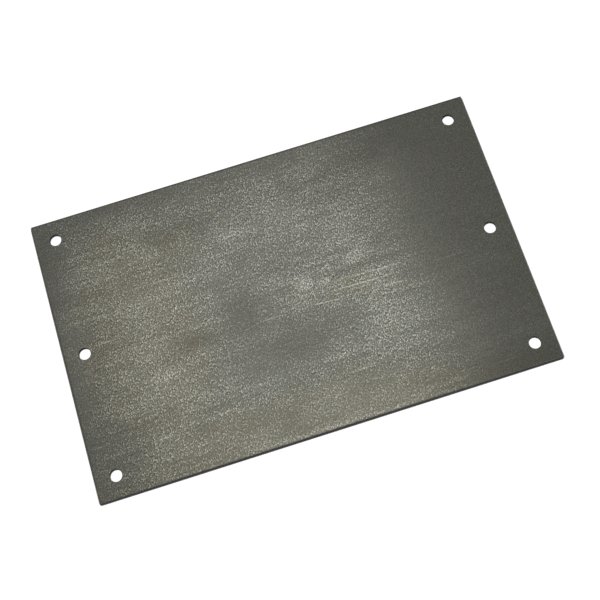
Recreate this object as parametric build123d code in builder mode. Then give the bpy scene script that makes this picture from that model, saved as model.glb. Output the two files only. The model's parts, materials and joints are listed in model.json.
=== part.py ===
"""Steel plate: a flat rectangle of rolled steel with a row of punched holes along each short side.

The plate lies flat. X runs along its length, Y across its width and Z up, with the origin on the
underside at the middle of the plate. All lengths are in millimetres.
"""

import os

from build123d import *

# Plate as it comes off the shear
plate_length = 350.0
plate_width = 220.0
plate_thickness = 3.0

# Sheared edge, from the top face down: a rolled-over rim, a clean cut land and a torn face that leans in
edge_roll_over = 0.4
edge_land_depth = 1.2
edge_torn_lean = 0.12

# Punched holes, free fit for M8 screws: the rim rolls over and the torn part opens towards the underside
hole_diameter = 9.0
hole_edge_distance = 16.0
hole_roll_over = 0.3
hole_land_depth = 1.3
hole_torn_lean = 0.15
hole_columns = 2
holes_per_column = 3

# Bevel where the burr was filed off each edge of the underside
burr_bevel = 0.15

# How far a cutting tool runs past a face
cut_overrun = 1.0

# Sizes that follow from those above
edge_land_bottom = plate_thickness - edge_land_depth
hole_radius = hole_diameter / 2
hole_land_bottom = plate_thickness - hole_land_depth
hole_foot_radius = hole_radius + hole_torn_lean
column_spacing = (plate_length - 2 * hole_edge_distance) / (hole_columns - 1)
hole_spacing = (plate_width - 2 * hole_edge_distance) / (holes_per_column - 1)

# Section of the sheared edge from the underside up: height, and how far the edge stands in from the outline
edge_section = [
    (0, edge_torn_lean + burr_bevel),
    (burr_bevel, edge_torn_lean),
    (edge_land_bottom, 0),
    (plate_thickness, 0),
]

os.makedirs("parts", exist_ok=True)

# Punch: the space that one hole takes out of the plate, turned about the hole's axis
with BuildPart() as punch:
    with BuildSketch(Plane.XZ):
        with BuildLine():
            Polyline(
                (hole_radius + hole_roll_over, plate_thickness),
                (hole_radius + hole_roll_over, plate_thickness + cut_overrun),
                (0, plate_thickness + cut_overrun),
                (0, -cut_overrun),
                (hole_foot_radius + burr_bevel + cut_overrun, -cut_overrun),
                (hole_foot_radius, burr_bevel),
                (hole_radius, hole_land_bottom),
                (hole_radius, plate_thickness - hole_roll_over),
            )
            CenterArc(
                center=(hole_radius + hole_roll_over, plate_thickness - hole_roll_over),
                radius=hole_roll_over,
                start_angle=180,
                arc_size=-90,
            )
        make_face()
    revolve(axis=Axis.Z)

# Plate: the sheared blank, its rolled-over top rim, then the grid of punched holes
with BuildPart() as steel_plate:
    for height, inset in edge_section:
        with BuildSketch(Plane.XY.offset(height)):
            Rectangle(plate_length - 2 * inset, plate_width - 2 * inset)
    loft(ruled=True)

    top_face = steel_plate.faces().sort_by(Axis.Z)[-1]
    fillet(top_face.edges(), radius=edge_roll_over)

    with GridLocations(column_spacing, hole_spacing, hole_columns, holes_per_column):
        add(punch.part, mode=Mode.SUBTRACT)

steel_plate.part.label = "steel_plate"
export_step(steel_plate.part, "parts/steel_plate.step")
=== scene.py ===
"""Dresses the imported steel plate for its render: mill-finished faces, sheared edges and punched holes.

The plate lies flat on a pale studio floor. Sizes are written in millimetres and turned to metres with MM.
"""

import json
import logging
import math
from dataclasses import dataclass
from enum import Enum
from typing import Any, Iterable, NamedTuple, Optional

import bmesh
import bpy
from mathutils import Matrix, Vector, noise

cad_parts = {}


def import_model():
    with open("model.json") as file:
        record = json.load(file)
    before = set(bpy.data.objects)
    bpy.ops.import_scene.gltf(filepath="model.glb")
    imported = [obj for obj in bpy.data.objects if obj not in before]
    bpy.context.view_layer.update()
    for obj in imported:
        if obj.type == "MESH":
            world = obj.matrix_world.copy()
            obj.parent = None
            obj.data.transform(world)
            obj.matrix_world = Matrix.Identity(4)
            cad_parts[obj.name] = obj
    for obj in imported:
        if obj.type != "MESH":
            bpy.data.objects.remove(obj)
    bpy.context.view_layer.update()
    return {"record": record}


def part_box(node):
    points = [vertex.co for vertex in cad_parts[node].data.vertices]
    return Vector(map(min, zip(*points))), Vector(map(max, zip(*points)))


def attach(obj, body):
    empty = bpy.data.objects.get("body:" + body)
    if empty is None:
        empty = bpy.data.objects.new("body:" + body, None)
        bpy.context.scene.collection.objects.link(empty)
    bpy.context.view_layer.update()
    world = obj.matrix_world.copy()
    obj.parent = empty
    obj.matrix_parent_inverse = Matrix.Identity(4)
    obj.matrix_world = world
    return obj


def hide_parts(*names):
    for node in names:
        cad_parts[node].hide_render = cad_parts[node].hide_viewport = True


MM = 0.001
NODE = "steel_plate"
BODY = "root"
LOG = logging.getLogger("steel_plate")

# Nearly all of a noise pattern lies between the low and the high value
NOISE_LOW = 0.3
NOISE_MIDDLE = 0.5
NOISE_HIGH = 0.7

Socket = bpy.types.NodeSocket
Tree = bpy.types.NodeTree


def linear(hex_colour: str) -> tuple[float, float, float, float]:
    """Turns an sRGB hex colour into linear red, green, blue and alpha.

    Args:
        hex_colour: Colour such as "#7B7A70".

    Returns:
        The linear colour, with alpha 1.
    """
    parts = [int(hex_colour[i : i + 2], 16) / 255 for i in (1, 3, 5)]
    red, green, blue = (p / 12.92 if p <= 0.04045 else ((p + 0.055) / 1.055) ** 2.4 for p in parts)
    return red, green, blue, 1.0


def add_node(
    tree: Tree,
    kind: str,
    settings: Optional[dict[str, Any]] = None,
    inputs: Optional[dict[Any, Any]] = None,
) -> bpy.types.Node:
    """Adds one node with its settings and links.

    Args:
        tree: Node tree that gets the node.
        kind: Blender's type name of the node.
        settings: Attributes of the node and their values.
        inputs: Input names or numbers, each with a socket to link or a plain value.

    Returns:
        The new node.
    """
    node = tree.nodes.new(kind)
    for name, value in (settings or {}).items():
        setattr(node, name, value)
    for name, value in (inputs or {}).items():
        if isinstance(value, Socket):
            tree.links.new(value, node.inputs[name])
        else:
            node.inputs[name].default_value = value
    return node


class SectionStep(NamedTuple):
    """One corner of a cut edge's section, in millimetres: how far it stands in, and its height."""

    inset: float
    height: float


@dataclass(frozen=True)
class CutEdge:
    """Section of an edge that a blade or punch cut, in millimetres.

    The blade first rolls the rim over, then cuts a clean land, and the rest tears and leans away.
    """

    roll_over: float
    land_depth: float
    torn_lean: float
    burr_bevel: float
    rim_steps: int = 6
    torn_steps: int = 5

    def section(self, thickness: float) -> list[SectionStep]:
        """Lists the section from the underside up to the top face.

        Args:
            thickness: Thickness of the plate in millimetres.

        Returns:
            The section's corners, each with its distance in from the clean cut land.
        """
        land_bottom = thickness - self.land_depth
        steps = [SectionStep(self.torn_lean + self.burr_bevel, 0.0)]
        for step in range(self.torn_steps + 1):
            part = step / self.torn_steps
            height = self.burr_bevel + part * (land_bottom - self.burr_bevel)
            steps.append(SectionStep(self.torn_lean * (1 - part), height))
        for step in range(self.rim_steps + 1):
            angle = math.radians(90) * step / self.rim_steps
            inset = self.roll_over * (1 - math.cos(angle))
            height = thickness - self.roll_over * (1 - math.sin(angle))
            steps.append(SectionStep(inset, height))
        return steps


def ring_solid(name: str, rings: list[list[Vector]]) -> bpy.types.Object:
    """Makes a closed solid from rings of points stacked one over the other.

    Args:
        name: Name of the object.
        rings: Rings with equal numbers of points in metres, counter-clockwise, from the bottom up.

    Returns:
        The new object, linked to the scene.
    """
    shape = bmesh.new()
    rows = [[shape.verts.new(point) for point in ring] for ring in rings]
    for low, high in zip(rows, rows[1:]):
        for i in range(len(low)):
            j = (i + 1) % len(low)
            shape.faces.new((low[i], low[j], high[j], high[i]))
    shape.faces.new(list(reversed(rows[0])))
    shape.faces.new(rows[-1])
    mesh = bpy.data.meshes.new(name)
    shape.to_mesh(mesh)
    shape.free()
    piece = bpy.data.objects.new(name, mesh)
    bpy.context.scene.collection.objects.link(piece)
    return piece


class MarkKind(Enum):
    """What left a mark on the plate's face; some kinds also carry painted shade and painted glints."""

    WORN_SMOOTH_AND_SHADE = "worn smooth and shaded"
    RIM_SHADE = "painted rim shade"
    OIL = "old oil"
    SMUDGE_AND_SHADE = "smudge and painted shade"
    RUB_AND_GLINT = "rub and painted glint"
    SCUFF_AND_GLINT = "scuff and painted glint"
    SCRATCH = "scratch"


@dataclass(frozen=True)
class Mark:
    """One mark on the top face: a soft ellipse, long and thin for a scratch. Sizes in millimetres.

    The mark has its full strength inside its core, a share of the ellipse, and fades out from there.
    """

    kind: MarkKind
    x: float
    y: float
    half_length: float
    half_width: float
    turn_deg: float
    strength: float
    core: float = 0.0


MARKS: tuple[Mark, ...] = (
    # Worn smooth: real dull patches, and painted shade that dulls the grains at the right end, the left
    # margin and the far strip, where the light's reflection falls off
    Mark(MarkKind.WORN_SMOOTH_AND_SHADE, 265, 0, 200, 420, 4, 0.78, 0.72),
    Mark(MarkKind.WORN_SMOOTH_AND_SHADE, -205, 0, 62, 420, 0, 0.58, 0.5),
    Mark(MarkKind.WORN_SMOOTH_AND_SHADE, 0, 125, 320, 42, 0, 0.36, 0.4),
    Mark(MarkKind.WORN_SMOOTH_AND_SHADE, -38, -2, 50, 30, 80, 0.18, 0.1),
    Mark(MarkKind.WORN_SMOOTH_AND_SHADE, -14, -42, 76, 34, 6, 0.22, 0.2),
    Mark(MarkKind.WORN_SMOOTH_AND_SHADE, 10, -98, 150, 34, 0, 0.32, 0.3),
    # Painted shade: darkens the face along its left and far edges
    Mark(MarkKind.RIM_SHADE, -175, 0, 1.9, 170, 0, 0.70, 0.5),
    Mark(MarkKind.RIM_SHADE, 0, 110, 260, 2.0, 0, 1.00, 0.5),
    Mark(MarkKind.OIL, -116, -5, 62, 130, 0, 1.00, 0.4),
    Mark(MarkKind.OIL, -20, -104, 210, 44, 0, 1.00, 0.3),
    Mark(MarkKind.OIL, 55, -11, 30, 12, 8, 0.80, 0.2),
    Mark(MarkKind.OIL, -70, 62, 24, 18, -40, 0.70, 0.2),
    Mark(MarkKind.SMUDGE_AND_SHADE, -78, 62, 17, 12, -55, 0.46),
    Mark(MarkKind.SMUDGE_AND_SHADE, -76, 62, 30, 22, -55, 0.22),
    Mark(MarkKind.SMUDGE_AND_SHADE, -39, -3, 50, 28, 82, 0.48, 0.1),
    Mark(MarkKind.SMUDGE_AND_SHADE, -80, -19, 20, 12, 10, 0.36),
    Mark(MarkKind.SMUDGE_AND_SHADE, 40, -5, 16, 8, 20, 0.30),
    Mark(MarkKind.SMUDGE_AND_SHADE, 70, 3, 15, 6, 10, 0.24),
    Mark(MarkKind.SMUDGE_AND_SHADE, 0, -34, 84, 28, 4, 0.56, 0.1),
    Mark(MarkKind.SMUDGE_AND_SHADE, -170, 72, 30, 60, 0, 0.30),
    Mark(MarkKind.SMUDGE_AND_SHADE, 84, 92, 54, 30, 0, 0.34),
    Mark(MarkKind.SMUDGE_AND_SHADE, 140, -104, 74, 30, 0, 0.38),
    # Painted shade in the strip along the far edge
    Mark(MarkKind.SMUDGE_AND_SHADE, 0, 114, 330, 26, 0, 0.18),
    Mark(MarkKind.SMUDGE_AND_SHADE, -52, -90, 34, 18, 0, 0.20),
    # Rubs: rubbed bright steel, and painted glints that brighten the grains where the light's reflection
    # falls
    Mark(MarkKind.RUB_AND_GLINT, 70, -50, 58, 46, 8, 0.46),
    Mark(MarkKind.RUB_AND_GLINT, 58, 32, 56, 32, 8, 0.36),
    Mark(MarkKind.RUB_AND_GLINT, -8, 64, 64, 18, 0, 0.36),
    Mark(MarkKind.RUB_AND_GLINT, -118, 47, 36, 16, 0, 0.25),
    Mark(MarkKind.RUB_AND_GLINT, -120, -36, 40, 40, 0, 0.56),
    Mark(MarkKind.RUB_AND_GLINT, 30, -102, 70, 16, 0, 0.15),
    Mark(MarkKind.SCUFF_AND_GLINT, 12, 1, 11, 7, 5, 0.40, 0.2),
    Mark(MarkKind.SCUFF_AND_GLINT, 27, -2, 8, 5, -10, 0.36, 0.2),
    Mark(MarkKind.SCUFF_AND_GLINT, 55, 12, 18, 8, 28, 0.24, 0.1),
    # Painted glints in a strip along the near edge
    Mark(MarkKind.SCUFF_AND_GLINT, 10, -107.8, 125, 1.8, 0, 0.22, 0.3),
    Mark(MarkKind.SCRATCH, 24, -17.5, 19, 0.70, -5, 0.66, 0.25),
    Mark(MarkKind.SCRATCH, 54, -11.3, 31, 0.70, -1.5, 0.72, 0.25),
    Mark(MarkKind.SCRATCH, 65, -5, 27, 0.70, -1, 0.68, 0.25),
    Mark(MarkKind.SCRATCH, 58, -14.5, 20, 0.60, -1, 0.38, 0.2),
    Mark(MarkKind.SCRATCH, 76, -19, 17, 0.70, -4, 0.66, 0.25),
    Mark(MarkKind.SCRATCH, 124, -12, 22, 0.65, -0.8, 0.26, 0.2),
    Mark(MarkKind.SCRATCH, -143, 3.5, 14, 0.65, 0, 0.42, 0.2),
    Mark(MarkKind.SCRATCH, -90, 37, 28, 0.65, 0, 0.40, 0.2),
    Mark(MarkKind.SCRATCH, -18, -17, 12, 0.60, 0, 0.34, 0.2),
    Mark(MarkKind.SCRATCH, -119, -79, 13, 0.70, 0, 0.54, 0.2),
    Mark(MarkKind.SCRATCH, -153, -80, 18, 0.65, 0, 0.40, 0.2),
    Mark(MarkKind.SCRATCH, -70, -74, 14, 0.65, 0, 0.48, 0.2),
    Mark(MarkKind.SCRATCH, -165, -71, 12, 0.65, 0, 0.32, 0.2),
    Mark(MarkKind.SCRATCH, 32, -74, 13, 0.65, 0, 0.44, 0.2),
    Mark(MarkKind.SCRATCH, 135, -100, 12, 0.65, 0, 0.22, 0.2),
    Mark(MarkKind.SCRATCH, -66, 96, 8, 0.65, 0, 0.44, 0.2),
)


class FaceLayers(NamedTuple):
    """Patterns that the face's colour and relief are mixed from.

    All lie between 0 and 1, apart from the grain, which is below 0 in the hollows and above 1 on the
    brightest grains.
    """

    clouds: Socket
    patches: Socket
    bands: Socket
    lines: Socket
    streaks: Socket
    flecks: Socket
    pits: Socket
    grain: Socket
    tarnish: Socket
    smooth: Socket
    rim_shade: Socket
    oil: Socket
    smudges_and_shade: Socket
    rubs_and_glints: Socket
    scuffs_and_glints: Socket
    scratches: Socket


@dataclass(frozen=True)
class MillFace:
    """Hot rolled mild steel, mill finish: bright steel grains show through a thin dark scale.

    The grains sparkle, each in a darker hollow. The rolls leave bands and fine lines along the length,
    and a film of old oil warms some patches. Painted shade darkens the face along its far and left edges
    and dulls the grains where the light's reflection falls off; painted glints brighten them where it
    falls.
    Sizes in millimetres. Real grains are finer; they are drawn as coarse as the render can show.
    """

    # Colours, and how much steel and oil the plain face shows
    scale_grey: str = "#5B5D58"
    oiled_scale: str = "#615D50"
    warm_steel: str = "#D1CCB9"
    cool_steel: str = "#C5CCC5"
    steel_share: float = 0.205
    thin_oil: float = 0.28
    oil_range: tuple[float, float] = (0.6, 1.3)
    roughness: float = 0.29
    roughness_swing: float = 0.03

    # Sizes of the patterns, and how far each one swings the share of bright steel
    cloud_size: float = 46.0
    cloud_swing: float = 0.26
    patch_length: float = 28.0
    patch_width: float = 8.0
    patch_swing: float = 0.20
    band_spacing: float = 9.0
    band_length: float = 130.0
    band_swing: float = 0.28
    line_spacing: float = 1.5
    line_length: float = 60.0
    line_swing: float = 0.22
    line_relief: float = 0.3
    streak_spacing: float = 1.6
    streak_length: float = 34.0
    streak_start: float = 0.62
    streak_full: float = 0.82
    streak_strength: float = 0.12
    fleck_size: float = 2.2
    fleck_start: float = 0.38
    fleck_full: float = 0.62
    fleck_least: float = 0.25
    pit_size: float = 0.7
    pit_height: float = 0.018
    pit_swing: float = 0.8
    pattern_roughness: float = 0.6

    # Grains: width and length of each layer's cells; the radius is a share of a cell
    grain_sizes: tuple[tuple[float, float], ...] = ((1.05, 1.85), (0.86, 1.5))
    grain_shift: float = 57.3
    grain_radius: float = 0.45
    grain_hollow: float = 0.4
    dull_grain: float = 0.2
    bright_grain: float = 4.4
    glint_rarity: float = 4.2
    grain_contrast: float = 1.48
    grain_ground: float = 0.696

    # Marks: how far soft ones wander from an ellipse, and how the grain breaks up scuffs and painted
    # glints
    mark_wander: float = 40.0
    grit_span: tuple[float, float] = (-0.2, 1.0)
    grit_range: tuple[float, float] = (0.2, 1.5)

    def build(self, thickness: float) -> bpy.types.Material:
        """Builds the material.

        Args:
            thickness: Height of the top face in millimetres.

        Returns:
            The finished material.
        """
        # Hot rolled: a dark satin grey to the eye, with sparkling grains and faint lines along the length
        material = bpy.data.materials.new("hot_rolled_mild_steel")
        material.use_nodes = True
        tree = material.node_tree
        shader = tree.nodes["Principled BSDF"]
        shader.inputs["Metallic"].default_value = 1.0
        layers = self._layers(tree, thickness)
        scale = add_node(
            tree,
            "ShaderNodeMix",
            {"data_type": "RGBA"},
            {0: self._oil(tree, layers), 6: linear(self.scale_grey), 7: linear(self.oiled_scale)},
        )
        steel = add_node(
            tree,
            "ShaderNodeMix",
            {"data_type": "RGBA"},
            {0: layers.tarnish, 6: linear(self.cool_steel), 7: linear(self.warm_steel)},
        )
        colour = add_node(
            tree,
            "ShaderNodeMix",
            {"data_type": "RGBA"},
            {0: self._bare_steel(tree, layers), 6: scale.outputs[2], 7: steel.outputs[2]},
        )
        gloss = add_node(
            tree,
            "ShaderNodeMapRange",
            None,
            {
                "Value": layers.lines,
                "From Min": NOISE_LOW,
                "From Max": NOISE_HIGH,
                "To Min": self.roughness * (1 - self.roughness_swing),
                "To Max": self.roughness * (1 + self.roughness_swing),
            },
        )
        tree.links.new(colour.outputs[2], shader.inputs["Base Color"])
        tree.links.new(gloss.outputs["Result"], shader.inputs["Roughness"])
        tree.links.new(self._relief(tree, layers), shader.inputs["Normal"])
        return material

    def _layers(self, tree: Tree, thickness: float) -> FaceLayers:
        """Draws the patterns of the face.

        Args:
            tree: Node tree of the material.
            thickness: Height of the top face in millimetres.

        Returns:
            The patterns.
        """
        place = add_node(tree, "ShaderNodeTexCoord").outputs["Object"]
        position = add_node(
            tree, "ShaderNodeVectorMath", {"operation": "SCALE"}, {0: place, "Scale": 1 / MM}
        ).outputs[0]
        # Size along and across the plate, and how much finer detail the noise carries
        sizes = {
            "clouds": (self.cloud_size, self.cloud_size, 3.0),
            "patches": (self.patch_length, self.patch_width, 2.0),
            "bands": (self.band_length, self.band_spacing, 3.0),
            "lines": (self.line_length, self.line_spacing, 2.0),
            "streaks": (self.streak_length, self.streak_spacing, 1.0),
            "flecks": (self.fleck_size, self.fleck_size, 1.0),
            "pits": (self.pit_size, self.pit_size, 1.0),
        }
        patterns = {}
        for name, (along, across, detail) in sizes.items():
            scaled = add_node(
                tree,
                "ShaderNodeMapping",
                None,
                {"Vector": position, "Scale": (1 / along, 1 / across, 1 / across)},
            )
            patterns[name] = add_node(
                tree,
                "ShaderNodeTexNoise",
                None,
                {
                    "Vector": scaled.outputs[0],
                    "Scale": 1.0,
                    "Detail": detail,
                    "Roughness": self.pattern_roughness,
                },
            ).outputs
        grain, tarnish = self._grains(tree, position)
        drift = add_node(
            tree,
            "ShaderNodeVectorMath",
            {"operation": "SUBTRACT"},
            {0: patterns["clouds"]["Color"], 1: (NOISE_MIDDLE, NOISE_MIDDLE, NOISE_MIDDLE)},
        )
        wandered = add_node(
            tree,
            "ShaderNodeVectorMath",
            {"operation": "MULTIPLY_ADD"},
            {0: drift.outputs[0], 1: (self.mark_wander, self.mark_wander, 0.0), 2: position},
        ).outputs[0]
        return FaceLayers(
            clouds=patterns["clouds"]["Fac"],
            patches=patterns["patches"]["Fac"],
            bands=patterns["bands"]["Fac"],
            lines=patterns["lines"]["Fac"],
            streaks=patterns["streaks"]["Fac"],
            flecks=patterns["flecks"]["Fac"],
            pits=patterns["pits"]["Fac"],
            grain=grain,
            tarnish=tarnish,
            # Worn smooth, and painted shade that dulls the grains
            smooth=self._marks(tree, wandered, thickness, MarkKind.WORN_SMOOTH_AND_SHADE),
            rim_shade=self._marks(tree, position, thickness, MarkKind.RIM_SHADE),
            oil=self._marks(tree, wandered, thickness, MarkKind.OIL),
            smudges_and_shade=self._marks(tree, wandered, thickness, MarkKind.SMUDGE_AND_SHADE),
            rubs_and_glints=self._marks(tree, wandered, thickness, MarkKind.RUB_AND_GLINT),
            scuffs_and_glints=self._marks(tree, position, thickness, MarkKind.SCUFF_AND_GLINT),
            scratches=self._marks(tree, position, thickness, MarkKind.SCRATCH),
        )

    def _grains(self, tree: Tree, position: Socket) -> tuple[Socket, Socket]:
        """Scatters grains of each size over one another, most of them dull and a few of them bright.

        Args:
            tree: Node tree of the material.
            position: Place on the plate in millimetres.

        Returns:
            The brightness of the grains, below 0 in the hollows round them, and a random value from 0 to 1
            for each grain.
        """
        brightness: Any = 0.0
        for layer, (width, length) in enumerate(self.grain_sizes):
            spread = add_node(
                tree,
                "ShaderNodeMapping",
                None,
                {
                    "Vector": position,
                    "Location": (layer * self.grain_shift, layer * self.grain_shift, 0.0),
                    "Scale": (1 / width, 1 / length, 1 / length),
                },
            )
            cells = add_node(
                tree,
                "ShaderNodeTexVoronoi",
                {"voronoi_dimensions": "2D"},
                {"Vector": spread.outputs[0], "Scale": 1.0},
            )
            dots = add_node(
                tree,
                "ShaderNodeMapRange",
                None,
                {
                    "Value": cells.outputs["Distance"],
                    "From Min": self.grain_radius * (1 + self.grain_hollow),
                    "From Max": 0.0,
                    "To Min": -self.grain_hollow,
                },
            ).outputs["Result"]
            chance = add_node(tree, "ShaderNodeSeparateColor", None, {0: cells.outputs["Color"]}).outputs
            rare = add_node(
                tree, "ShaderNodeMath", {"operation": "POWER"}, {0: chance["Red"], 1: self.glint_rarity}
            ).outputs[0]
            glint = add_node(
                tree,
                "ShaderNodeMapRange",
                None,
                {"Value": rare, "To Min": self.dull_grain, "To Max": self.bright_grain},
            ).outputs["Result"]
            brightness = add_node(
                tree, "ShaderNodeMath", {"operation": "MULTIPLY_ADD"}, {0: dots, 1: glint, 2: brightness}
            ).outputs[0]
        return brightness, chance["Green"]

    def _marks(self, tree: Tree, position: Socket, thickness: float, kind: MarkKind) -> Socket:
        """Draws all marks of one kind on the top face.

        Args:
            tree: Node tree of the material.
            position: Place on the plate in millimetres.
            thickness: Height of the top face in millimetres.
            kind: Which marks to draw.

        Returns:
            The strength of the marks from 0 to 1.
        """
        total: Any = 0.0
        for mark in MARKS:
            if mark.kind is not kind:
                continue
            local = add_node(
                tree,
                "ShaderNodeMapping",
                {"vector_type": "TEXTURE"},
                {
                    "Vector": position,
                    "Location": (mark.x, mark.y, thickness),
                    "Rotation": (0.0, 0.0, math.radians(mark.turn_deg)),
                    "Scale": (mark.half_length, mark.half_width, 1.0),
                },
            )
            reach = add_node(tree, "ShaderNodeVectorMath", {"operation": "LENGTH"}, {0: local.outputs[0]})
            drawn = add_node(
                tree,
                "ShaderNodeMapRange",
                {"interpolation_type": "SMOOTHSTEP"},
                {
                    "Value": reach.outputs["Value"],
                    "From Min": 1.0,
                    "From Max": mark.core,
                    "To Max": mark.strength,
                },
            )
            total = add_node(
                tree, "ShaderNodeMath", {"operation": "MAXIMUM"}, {0: drawn.outputs["Result"], 1: total}
            ).outputs[0]
        return total

    def _bare_steel(self, tree: Tree, layers: FaceLayers) -> Socket:
        """Works out how much bright steel shows through the scale.

        Args:
            tree: Node tree of the material.
            layers: The patterns of the face.

        Returns:
            The share of bright steel from 0 to 1.
        """
        unworn_and_lit = add_node(
            tree, "ShaderNodeMath", {"operation": "SUBTRACT"}, {0: 1.0, 1: layers.smooth}
        ).outputs[0]
        sparkle = add_node(
            tree,
            "ShaderNodeMath",
            {"operation": "MULTIPLY_ADD"},
            {0: layers.grain, 1: self.grain_contrast, 2: self.grain_ground},
        ).outputs[0]
        sparkle = add_node(
            tree, "ShaderNodeMath", {"operation": "MAXIMUM"}, {0: sparkle, 1: 0.0}
        ).outputs[0]
        swings = (
            (layers.clouds, self.cloud_swing),
            (layers.patches, self.patch_swing),
            (layers.bands, self.band_swing),
            (layers.lines, self.line_swing),
        )
        for pattern, swing in swings:
            uneven = add_node(
                tree,
                "ShaderNodeMapRange",
                None,
                {
                    "Value": pattern,
                    "From Min": NOISE_LOW,
                    "From Max": NOISE_HIGH,
                    "To Min": 1 - swing,
                    "To Max": 1 + swing,
                },
            ).outputs["Result"]
            sparkle = add_node(
                tree, "ShaderNodeMath", {"operation": "MULTIPLY"}, {0: sparkle, 1: uneven}
            ).outputs[0]
        quiet = add_node(
            tree,
            "ShaderNodeMapRange",
            None,
            {
                "Value": layers.pits,
                "From Min": NOISE_LOW,
                "From Max": NOISE_HIGH,
                "To Min": 1 - self.pit_swing,
                "To Max": 1 + self.pit_swing,
            },
        ).outputs["Result"]
        # The grains are quieted where the face is worn smooth and where shade is painted
        share = add_node(
            tree, "ShaderNodeMix", {"data_type": "FLOAT"}, {"Factor": unworn_and_lit, "A": quiet, "B": sparkle}
        ).outputs[0]
        # Smudges, and painted shade along the far and left edges, darken the steel
        dark = add_node(
            tree, "ShaderNodeMath", {"operation": "MAXIMUM"}, {0: layers.smudges_and_shade, 1: layers.rim_shade}
        ).outputs[0]
        undimmed = add_node(
            tree, "ShaderNodeMath", {"operation": "SUBTRACT"}, {0: 1.0, 1: dark}
        ).outputs[0]
        share = add_node(
            tree, "ShaderNodeMath", {"operation": "MULTIPLY"}, {0: share, 1: undimmed}
        ).outputs[0]
        # Rubs brighten the steel, partly as painted glints
        marked_share = add_node(
            tree, "ShaderNodeMath", {"operation": "MULTIPLY_ADD"}, {0: layers.rubs_and_glints, 1: share, 2: share}
        ).outputs[0]
        streak = add_node(
            tree,
            "ShaderNodeMapRange",
            {"interpolation_type": "SMOOTHSTEP"},
            {
                "Value": layers.streaks,
                "From Min": self.streak_start,
                "From Max": self.streak_full,
                "To Max": self.streak_strength,
            },
        ).outputs["Result"]
        streak = add_node(
            tree, "ShaderNodeMath", {"operation": "MULTIPLY"}, {0: streak, 1: unworn_and_lit}
        ).outputs[0]
        fleck = add_node(
            tree,
            "ShaderNodeMapRange",
            {"interpolation_type": "SMOOTHSTEP"},
            {
                "Value": layers.flecks,
                "From Min": self.fleck_start,
                "From Max": self.fleck_full,
                "To Min": self.fleck_least,
            },
        ).outputs["Result"]
        grit = add_node(
            tree,
            "ShaderNodeMapRange",
            None,
            {
                "Value": layers.grain,
                "From Min": self.grit_span[0],
                "From Max": self.grit_span[1],
                "To Min": self.grit_range[0],
                "To Max": self.grit_range[1],
            },
        ).outputs["Result"]
        # Scratches and scuffs break the scale; along the near edge the scuffs are painted glints
        broken_scale_and_glints = streak
        for worn, texture in ((layers.scratches, fleck), (layers.scuffs_and_glints, grit)):
            flecked = add_node(
                tree, "ShaderNodeMath", {"operation": "MULTIPLY"}, {0: worn, 1: texture}
            ).outputs[0]
            broken_scale_and_glints = add_node(
                tree, "ShaderNodeMath", {"operation": "MAXIMUM"}, {0: broken_scale_and_glints, 1: flecked}
            ).outputs[0]
        return add_node(
            tree,
            "ShaderNodeMath",
            {"operation": "MULTIPLY_ADD", "use_clamp": True},
            {0: marked_share, 1: self.steel_share, 2: broken_scale_and_glints},
        ).outputs[0]

    def _oil(self, tree: Tree, layers: FaceLayers) -> Socket:
        """Works out where old oil warms the steel: patches that are thicker and thinner in clouds.

        Args:
            tree: Node tree of the material.
            layers: The patterns of the face.

        Returns:
            The strength of the oil film from 0 to 1.
        """
        film = add_node(
            tree,
            "ShaderNodeMapRange",
            None,
            {
                "Value": layers.clouds,
                "From Min": NOISE_LOW,
                "From Max": NOISE_HIGH,
                "To Min": self.oil_range[0],
                "To Max": self.oil_range[1],
            },
        ).outputs["Result"]
        return add_node(
            tree,
            "ShaderNodeMath",
            {"operation": "MULTIPLY_ADD", "use_clamp": True},
            {0: film, 1: layers.oil, 2: self.thin_oil},
        ).outputs[0]

    def _relief(self, tree: Tree, layers: FaceLayers) -> Socket:
        """Gives the face its pits, shallower where it is smoothed by wear and where shade is painted, and
        the lines of the rolls.

        Args:
            tree: Node tree of the material.
            layers: The patterns of the face.

        Returns:
            The bumped normal.
        """
        unworn_and_lit = add_node(
            tree, "ShaderNodeMath", {"operation": "SUBTRACT"}, {0: 1.0, 1: layers.smooth}
        ).outputs[0]
        pitted = add_node(
            tree, "ShaderNodeMath", {"operation": "MULTIPLY"}, {0: layers.pits, 1: unworn_and_lit}
        ).outputs[0]
        height = add_node(
            tree,
            "ShaderNodeMath",
            {"operation": "MULTIPLY_ADD"},
            {0: layers.lines, 1: self.line_relief, 2: pitted},
        ).outputs[0]
        bump = add_node(
            tree, "ShaderNodeBump", None, {"Height": height, "Distance": self.pit_height * MM}
        )
        return bump.outputs["Normal"]


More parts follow.
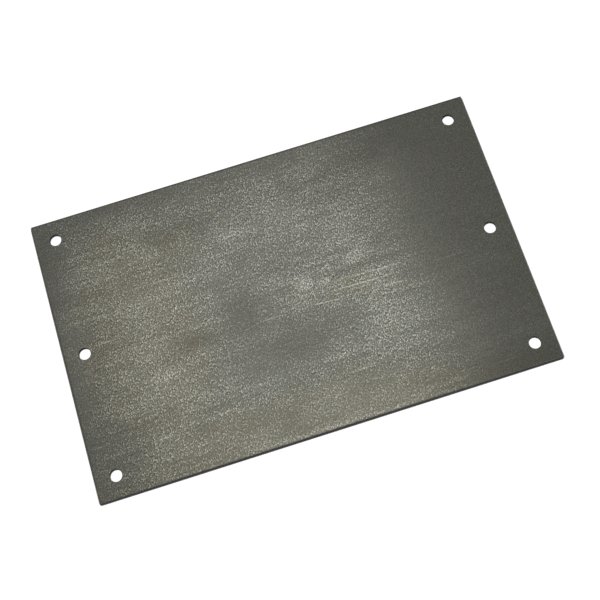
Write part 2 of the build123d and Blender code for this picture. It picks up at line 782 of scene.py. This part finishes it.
@dataclass(frozen=True)
class CutWall:
    """Wall that a blade or punch cut through mild steel.

    The clean land is smooth and fairly bright, with fine upright scoring; below it the torn metal is
    dark, matt and grainy. Sizes in millimetres.
    """

    name: str
    land_height: float
    land_grey: str = "#A0A098"
    torn_grey: str = "#4A4A46"
    edge_tint: str = "#303030"
    land_roughness: float = 0.38
    torn_roughness: float = 0.62
    tone_swing: float = 0.25
    tear_size: float = 0.5
    tear_detail: float = 3.0
    tear_height: float = 0.06
    relief_strength: float = 0.6
    score_spacing: float = 0.35
    score_drift: float = 0.12
    ragged_reach: float = 0.7
    land_blend: tuple[float, float] = (0.2, 0.5)

    def build(self) -> bpy.types.Material:
        """Builds the material.

        Returns:
            The finished material.
        """
        # Sheared or punched: a scored, fairly bright strip to the eye, over a dark and matt one
        material = bpy.data.materials.new(self.name)
        material.use_nodes = True
        tree = material.node_tree
        shader = tree.nodes["Principled BSDF"]
        shader.inputs["Metallic"].default_value = 1.0
        shader.inputs["Specular Tint"].default_value = linear(self.edge_tint)
        place = add_node(tree, "ShaderNodeTexCoord").outputs["Object"]
        position = add_node(
            tree, "ShaderNodeVectorMath", {"operation": "SCALE"}, {0: place, "Scale": 1 / MM}
        ).outputs[0]
        tears = add_node(
            tree,
            "ShaderNodeTexNoise",
            None,
            {"Vector": position, "Scale": 1 / self.tear_size, "Detail": self.tear_detail},
        ).outputs["Fac"]
        upright = add_node(
            tree,
            "ShaderNodeMapping",
            None,
            {
                "Vector": position,
                "Scale": (1 / self.score_spacing, 1 / self.score_spacing, self.score_drift),
            },
        ).outputs[0]
        scores = add_node(
            tree, "ShaderNodeTexNoise", None, {"Vector": upright, "Scale": 1.0}
        ).outputs["Fac"]
        height = add_node(tree, "ShaderNodeSeparateXYZ", None, {0: position}).outputs["Z"]
        ragged = add_node(
            tree,
            "ShaderNodeMath",
            {"operation": "MULTIPLY_ADD"},
            {0: tears, 1: self.ragged_reach, 2: height},
        ).outputs[0]
        land = add_node(
            tree,
            "ShaderNodeMapRange",
            {"interpolation_type": "SMOOTHSTEP"},
            {
                "Value": ragged,
                "From Min": self.land_height + self.land_blend[0],
                "From Max": self.land_height + self.land_blend[1],
            },
        ).outputs["Result"]
        relief = add_node(
            tree, "ShaderNodeMix", {"data_type": "FLOAT"}, {"Factor": land, "A": tears, "B": scores}
        ).outputs[0]
        tone = add_node(
            tree,
            "ShaderNodeMix",
            {"data_type": "RGBA"},
            {0: land, 6: linear(self.torn_grey), 7: linear(self.land_grey)},
        ).outputs[2]
        gain = add_node(
            tree,
            "ShaderNodeMapRange",
            None,
            {
                "Value": relief,
                "From Min": NOISE_LOW,
                "From Max": NOISE_HIGH,
                "To Min": 1 - self.tone_swing,
                "To Max": 1 + self.tone_swing,
            },
        ).outputs["Result"]
        shade = add_node(
            tree, "ShaderNodeVectorMath", {"operation": "SCALE"}, {0: tone, "Scale": gain}
        ).outputs[0]
        tree.links.new(shade, shader.inputs["Base Color"])
        gloss = add_node(
            tree,
            "ShaderNodeMix",
            {"data_type": "FLOAT"},
            {"Factor": land, "A": self.torn_roughness, "B": self.land_roughness},
        ).outputs[0]
        tree.links.new(gloss, shader.inputs["Roughness"])
        bump = add_node(
            tree,
            "ShaderNodeBump",
            None,
            {"Height": relief, "Strength": self.relief_strength, "Distance": self.tear_height * MM},
        )
        tree.links.new(bump.outputs["Normal"], shader.inputs["Normal"])
        return material


@dataclass
class Plate:
    """The plate itself: a sheared blank with a grid of punched holes. Sizes in millimetres."""

    length: float
    width: float
    thickness: float
    hole_radius: float
    column_spacing: float
    row_spacing: float
    columns: int = 2
    rows: int = 3
    sheared: CutEdge = CutEdge(roll_over=0.4, land_depth=1.2, torn_lean=0.12, burr_bevel=0.15)
    punched: CutEdge = CutEdge(roll_over=0.3, land_depth=1.3, torn_lean=0.15, burr_bevel=0.15)
    edge_step: float = 0.9
    tear_depth: float = 0.05
    tear_size: float = 1.6
    circle_steps: int = 64
    overrun: float = 1.0
    face: MillFace = MillFace()
    # Painted shade inside the holes: their walls, and the rounded rims round them, are darker than the
    # sheared edge's
    hole_land_shade_grey: str = "#5E5E58"
    hole_torn_shade_grey: str = "#444440"

    # A wall no further in from the outline than this is the sheared edge
    edge_margin: float = 1.0

    # Upright part of a normal, below which a surface is an edge's wall, a hole's wall or not flat
    edge_wall_slope: float = 0.6
    hole_wall_slope: float = 0.95
    flat_slope: float = 0.9999

    @classmethod
    def from_frame(cls, record: dict[str, Any]) -> "Plate":
        """Reads the plate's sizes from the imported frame.

        Args:
            record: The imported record, whose mounts state the holes.

        Returns:
            A plate of the frame's size.
        """
        low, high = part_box(NODE)
        size = (high - low) / MM
        corners = next(m for m in record["mounts"] if m["name"] == "corner_holes")["dims"]
        return cls(
            length=size.x,
            width=size.y,
            thickness=size.z,
            hole_radius=corners["hole_r_mm"],
            column_spacing=corners["spacing_x_mm"],
            row_spacing=corners["spacing_y_mm"] / 2,
        )

    def build(self) -> bpy.types.Object:
        """Shears the blank, punches its holes and dresses it.

        Returns:
            The finished plate at the origin.
        """
        blank = self._blank()
        punch = self._punch()
        plate = self._punch_holes(blank, punch)
        bpy.data.objects.remove(punch)
        return plate

    def _outline(self) -> list[Vector]:
        """Walks round the plate's outline, counter-clockwise from above.

        Returns:
            Points with x and y from -1 to 1, so that a ring of any inset can be scaled from them.
        """
        corners = [Vector((-1, -1)), Vector((1, -1)), Vector((1, 1)), Vector((-1, 1))]
        points = []
        for start, end, side in zip(corners, corners[1:] + corners[:1], (self.length, self.width) * 2):
            count = round(side / self.edge_step)
            points += [start.lerp(end, i / count) for i in range(count)]
        return points

    def _blank(self) -> bpy.types.Object:
        """Stacks the outline up through the section of a sheared edge, ragged where the metal tore.

        Returns:
            The blank without its holes.
        """
        outline = self._outline()
        land_bottom = self.thickness - self.sheared.land_depth
        rings = []
        for inset, height in self.sheared.section(self.thickness):
            torn = self.sheared.burr_bevel <= height < land_bottom
            half_x = self.length / 2 - inset
            half_y = self.width / 2 - inset
            ring = []
            for point in outline:
                place = Vector((point.x * half_x, point.y * half_y, height))
                if torn:
                    ragged = abs(noise.noise(place / self.tear_size)) * self.tear_depth
                    place.x -= ragged * (abs(point.x) == 1) * point.x
                    place.y -= ragged * (abs(point.y) == 1) * point.y
                ring.append(place * MM)
            rings.append(ring)
        return ring_solid("blank", rings)

    def _punch(self) -> bpy.types.Object:
        """Makes the space that one punched hole takes out of the blank.

        Returns:
            A turned solid at the origin, a little taller than the plate.
        """
        section = self.punched.section(self.thickness)
        foot = section[0]
        rim = section[-1]
        steps = [SectionStep(foot.inset + self.overrun, foot.height - self.overrun)]
        steps += section[1:]
        steps.append(SectionStep(rim.inset, rim.height + self.overrun))
        angles = [math.tau * i / self.circle_steps for i in range(self.circle_steps)]
        rings = []
        for inset, height in steps:
            radius = self.hole_radius + inset
            ring = [Vector((radius * math.cos(a), radius * math.sin(a), height)) * MM for a in angles]
            rings.append(ring)
        return ring_solid("punch", rings)

    def _punch_holes(self, blank: bpy.types.Object, punch: bpy.types.Object) -> bpy.types.Object:
        """Cuts a grid of punches out of the blank with Geometry Nodes and dresses the result.

        Args:
            blank: The sheared blank.
            punch: The shape of one hole.

        Returns:
            The plate as a plain mesh object.
        """
        finishes = {
            "Face Finish": self.face.build(self.thickness),
            "Edge Finish": CutWall("sheared_mild_steel", self.thickness - self.sheared.land_depth).build(),
            # The holes' finish carries painted shade
            "Shaded Hole Finish": CutWall(
                "punched_mild_steel_shaded",
                self.thickness - self.punched.land_depth,
                land_grey=self.hole_land_shade_grey,
                torn_grey=self.hole_torn_shade_grey,
            ).build(),
        }
        values = {
            "Punch": punch,
            "Column Spacing": self.column_spacing * MM,
            "Row Spacing": self.row_spacing * MM,
            "Columns": self.columns,
            "Rows": self.rows,
            "Edge Line X": (self.length / 2 - self.edge_margin) * MM,
            "Edge Line Y": (self.width / 2 - self.edge_margin) * MM,
            **finishes,
        }
        tree = self._hole_tree()
        modifier = blank.modifiers.new("punched_holes", "NODES")
        modifier.node_group = tree
        sockets = {s.name: s.identifier for s in tree.interface.items_tree if s.in_out == "INPUT"}
        for name, value in values.items():
            modifier[sockets[name]] = value
        graph = bpy.context.evaluated_depsgraph_get()
        mesh = bpy.data.meshes.new_from_object(blank.evaluated_get(graph))
        blank.modifiers.remove(modifier)
        bpy.data.objects.remove(blank)
        mesh.name = "plate"
        plate = bpy.data.objects.new("plate", mesh)
        bpy.context.scene.collection.objects.link(plate)
        return plate

    def _hole_tree(self) -> Tree:
        """Builds the tree that punches a grid of holes and gives each kind of face its finish.

        Returns:
            The node tree, with named inputs for its sizes and finishes.
        """
        tree = bpy.data.node_groups.new("punched_holes", "GeometryNodeTree")
        kinds = {
            "Blank": "NodeSocketGeometry",
            "Punch": "NodeSocketObject",
            "Column Spacing": "NodeSocketFloat",
            "Row Spacing": "NodeSocketFloat",
            "Columns": "NodeSocketInt",
            "Rows": "NodeSocketInt",
            "Edge Line X": "NodeSocketFloat",
            "Edge Line Y": "NodeSocketFloat",
            "Face Finish": "NodeSocketMaterial",
            "Edge Finish": "NodeSocketMaterial",
            "Shaded Hole Finish": "NodeSocketMaterial",
        }
        for name, kind in kinds.items():
            tree.interface.new_socket(name, in_out="INPUT", socket_type=kind)
        tree.interface.new_socket("Plate", in_out="OUTPUT", socket_type="NodeSocketGeometry")
        given = add_node(tree, "NodeGroupInput").outputs
        spans = {}
        for count, spacing in (("Columns", "Column Spacing"), ("Rows", "Row Spacing")):
            gaps = add_node(tree, "ShaderNodeMath", {"operation": "SUBTRACT"}, {0: given[count], 1: 1.0})
            spans[count] = add_node(
                tree, "ShaderNodeMath", {"operation": "MULTIPLY"}, {0: gaps.outputs[0], 1: given[spacing]}
            ).outputs[0]
        grid = add_node(
            tree,
            "GeometryNodeMeshGrid",
            None,
            {
                "Size X": spans["Columns"],
                "Size Y": spans["Rows"],
                "Vertices X": given["Columns"],
                "Vertices Y": given["Rows"],
            },
        )
        cutter = add_node(tree, "GeometryNodeObjectInfo", None, {"Object": given["Punch"]})
        placed = add_node(
            tree,
            "GeometryNodeInstanceOnPoints",
            None,
            {"Points": grid.outputs["Mesh"], "Instance": cutter.outputs["Geometry"]},
        )
        cutters = add_node(
            tree, "GeometryNodeRealizeInstances", None, {"Geometry": placed.outputs["Instances"]}
        )
        cut = add_node(
            tree,
            "GeometryNodeMeshBoolean",
            {"operation": "DIFFERENCE", "solver": "EXACT"},
            {"Mesh 1": given["Blank"], "Mesh 2": cutters.outputs["Geometry"]},
        )
        normal = add_node(tree, "GeometryNodeInputNormal").outputs["Normal"]
        upright = add_node(tree, "ShaderNodeSeparateXYZ", None, {0: normal}).outputs["Z"]
        steep = add_node(tree, "ShaderNodeMath", {"operation": "ABSOLUTE"}, {0: upright}).outputs[0]
        wall, rounded, curved = (
            add_node(
                tree,
                "FunctionNodeCompare",
                {"data_type": "FLOAT", "operation": "LESS_THAN"},
                {0: steep, 1: slope},
            ).outputs[0]
            for slope in (self.edge_wall_slope, self.hole_wall_slope, self.flat_slope)
        )
        place = add_node(tree, "GeometryNodeInputPosition").outputs["Position"]
        axes = add_node(tree, "ShaderNodeSeparateXYZ", None, {0: place})
        outer = []
        for axis, line in (("X", "Edge Line X"), ("Y", "Edge Line Y")):
            reach = add_node(tree, "ShaderNodeMath", {"operation": "ABSOLUTE"}, {0: axes.outputs[axis]})
            outer.append(
                add_node(
                    tree,
                    "FunctionNodeCompare",
                    {"data_type": "FLOAT", "operation": "GREATER_THAN"},
                    {0: reach.outputs[0], 1: given[line]},
                ).outputs[0]
            )
        at_edge = add_node(
            tree, "FunctionNodeBooleanMath", {"operation": "OR"}, dict(enumerate(outer))
        ).outputs[0]
        edge_wall = add_node(
            tree, "FunctionNodeBooleanMath", {"operation": "AND"}, {0: wall, 1: at_edge}
        ).outputs[0]
        hole_wall = add_node(
            tree, "FunctionNodeBooleanMath", {"operation": "NIMPLY"}, {0: rounded, 1: at_edge}
        ).outputs[0]
        flow = add_node(
            tree,
            "GeometryNodeSetShadeSmooth",
            None,
            {"Geometry": cut.outputs["Mesh"], "Shade Smooth": curved},
        ).outputs[0]
        flow = add_node(tree, "GeometryNodeRealizeInstances", None, {"Geometry": flow}).outputs[0]
        dressing: Iterable[tuple[str, Any]] = (
            ("Face Finish", True),
            ("Shaded Hole Finish", hole_wall),
            ("Edge Finish", edge_wall),
        )
        for finish, selection in dressing:
            flow = add_node(
                tree,
                "GeometryNodeSetMaterial",
                None,
                {"Geometry": flow, "Selection": selection, "Material": given[finish]},
            ).outputs[0]
        add_node(tree, "NodeGroupOutput", None, {"Plate": flow})
        return tree


@dataclass(frozen=True)
class Studio:
    """Pale floor, one soft overhead light and even surroundings. Sizes in millimetres."""

    outline: tuple[float, float]
    floor_size: float = 12000.0
    wall_height: float = 900.0
    floor_colour: str = "#FFFFFF"
    floor_glow: float = 1.0
    floor_shade: str = "#767676"
    paper_grey: str = "#E7E7E7"
    contact_reach: float = 1.8
    contact_slant: tuple[float, float, float] = (-0.1, 0.45, 0.89)
    contact_range: tuple[float, float] = (0.84, 0.945)
    contact_samples: int = 16
    hole_glow: float = 0.45
    surroundings_colour: str = "#FFFFFF"
    surroundings_level: float = 0.365
    softbox_size: tuple[float, float] = (373.5, 403.2)
    softbox_centre: tuple[float, float, float] = (-22.4, 64.2, 380.0)
    softbox_turn_deg: float = 7.0
    softbox_level: float = 0.74

    def build(self) -> None:
        """Builds the floor, the light and the surroundings."""
        self._floor()
        self._softbox()
        world = bpy.data.worlds.new("studio")
        world.use_nodes = True
        background = world.node_tree.nodes["Background"]
        background.inputs["Color"].default_value = linear(self.surroundings_colour)
        background.inputs["Strength"].default_value = self.surroundings_level
        bpy.context.scene.world = world

    def _floor(self) -> None:
        """Lays a low-walled floor that shows white and keeps a thin shadow where the plate meets it."""
        half = self.floor_size / 2 * MM
        sides = ((-half, -half), (half, -half), (half, half), (-half, half))
        corners = [(x, y, z) for z in (0.0, self.wall_height * MM) for x, y in sides]
        walls = [(i, i + 4, (i + 1) % 4 + 4, (i + 1) % 4) for i in range(4)]
        mesh = bpy.data.meshes.new("floor")
        mesh.from_pydata(corners, [], [(0, 1, 2, 3)] + walls)
        floor = bpy.data.objects.new("floor", mesh)
        bpy.context.scene.collection.objects.link(floor)
        # White paper: burnt out to plain white for the eye, dim only in the crack under the plate's edge
        material = bpy.data.materials.new("white_paper_floor")
        material.use_nodes = True
        tree = material.node_tree
        tree.nodes.clear()
        rays = add_node(tree, "ShaderNodeLightPath")
        seen: Any = 0.0
        for ray in ("Is Camera Ray", "Is Glossy Ray", "Is Transmission Ray"):
            seen = add_node(
                tree, "ShaderNodeMath", {"operation": "MAXIMUM"}, {0: rays.outputs[ray], 1: seen}
            ).outputs[0]
        slant = add_node(tree, "ShaderNodeCombineXYZ", None, dict(enumerate(self.contact_slant)))
        open_sky = add_node(
            tree,
            "ShaderNodeAmbientOcclusion",
            {"samples": self.contact_samples},
            {"Distance": self.contact_reach * MM, "Normal": slant.outputs[0]},
        ).outputs["AO"]
        place = add_node(tree, "ShaderNodeTexCoord").outputs["Object"]
        axes = add_node(tree, "ShaderNodeSeparateXYZ", None, {0: place})
        under: Any = 1.0
        for axis, side in zip("XY", self.outline):
            inside = add_node(
                tree,
                "ShaderNodeMath",
                {"operation": "COMPARE"},
                {0: axes.outputs[axis], 1: 0.0, 2: side / 2 * MM - self.contact_reach * MM},
            )
            under = add_node(
                tree, "ShaderNodeMath", {"operation": "MINIMUM"}, {0: inside.outputs[0], 1: under}
            ).outputs[0]
        lit = add_node(
            tree,
            "ShaderNodeMath",
            {"operation": "MULTIPLY_ADD"},
            {0: under, 1: self.hole_glow, 2: open_sky},
        ).outputs[0]
        glow_level = add_node(
            tree,
            "ShaderNodeMapRange",
            {"interpolation_type": "SMOOTHSTEP"},
            {
                "Value": lit,
                "From Min": self.contact_range[0],
                "From Max": self.contact_range[1],
                "To Max": self.floor_glow,
            },
        ).outputs["Result"]
        paper = add_node(tree, "ShaderNodeBsdfDiffuse", None, {"Color": linear(self.paper_grey)})
        shaded = add_node(tree, "ShaderNodeBsdfDiffuse", None, {"Color": linear(self.floor_shade)})
        glow = add_node(
            tree, "ShaderNodeEmission", None, {"Color": linear(self.floor_colour), "Strength": glow_level}
        )
        white = add_node(tree, "ShaderNodeAddShader", None, {0: shaded.outputs[0], 1: glow.outputs[0]})
        mixed = add_node(
            tree, "ShaderNodeMixShader", None, {0: seen, 1: paper.outputs[0], 2: white.outputs[0]}
        )
        add_node(tree, "ShaderNodeOutputMaterial", None, {"Surface": mixed.outputs[0]})
        mesh.materials.append(material)

    def _softbox(self) -> None:
        """Hangs one large soft light over the plate."""
        width, depth = (side * MM for side in self.softbox_size)
        light = bpy.data.lights.new("softbox", "AREA")
        light.shape = "RECTANGLE"
        light.size = width
        light.size_y = depth
        light.energy = self.softbox_level * math.pi * width * depth
        softbox = bpy.data.objects.new("softbox", light)
        softbox.location = Vector(self.softbox_centre) * MM
        softbox.rotation_euler = (0.0, 0.0, math.radians(self.softbox_turn_deg))
        softbox.visible_camera = False
        bpy.context.scene.collection.objects.link(softbox)


@dataclass(frozen=True)
class PhotoCamera:
    """Camera at the photograph's viewing angle. Sizes in millimetres, angles in degrees."""

    aim: tuple[float, float, float] = (5.6, -9.1, 0.0)
    azimuth: float = -8.285
    elevation: float = 73.602
    roll: float = 9.406
    distance: float = 770.0
    lens: float = 61.7
    sensor: float = 36.0

    def build(self) -> None:
        """Builds the camera and makes it the scene's own."""
        turn = math.radians(self.azimuth)
        rise = math.radians(self.elevation)
        tilt = math.radians(self.roll)
        back = Vector((math.sin(turn) * math.cos(rise), -math.cos(turn) * math.cos(rise), math.sin(rise)))
        level_right = Vector((0.0, 0.0, 1.0)).cross(back).normalized()
        level_up = back.cross(level_right)
        up = level_up * math.cos(tilt) + level_right * math.sin(tilt)
        right = up.cross(back)
        place = Matrix((right, up, back)).transposed().to_4x4()
        place.translation = (Vector(self.aim) + back * self.distance) * MM
        data = bpy.data.cameras.new("photo_camera")
        data.lens = self.lens
        data.sensor_width = self.sensor
        camera = bpy.data.objects.new("photo_camera", data)
        camera.matrix_world = place
        bpy.context.scene.collection.objects.link(camera)
        bpy.context.scene.camera = camera


def main() -> None:
    """Builds the plate, the studio and the camera, and logs the plate's counts of faces and finishes."""
    logging.basicConfig(level=logging.INFO, format="%(name)s: %(message)s")
    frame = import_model()
    stock = Plate.from_frame(frame["record"])
    plate = stock.build()
    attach(plate, BODY)
    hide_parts(NODE)
    LOG.info("plate: %d faces, %d finishes", len(plate.data.polygons), len(plate.data.materials))
    Studio((stock.length, stock.width)).build()
    LOG.info("studio: floor, softbox and surroundings")
    PhotoCamera().build()
    LOG.info("camera: at the photograph's angle")
    bpy.context.scene.view_settings.view_transform = "Standard"


if __name__ == "__main__":
    main()
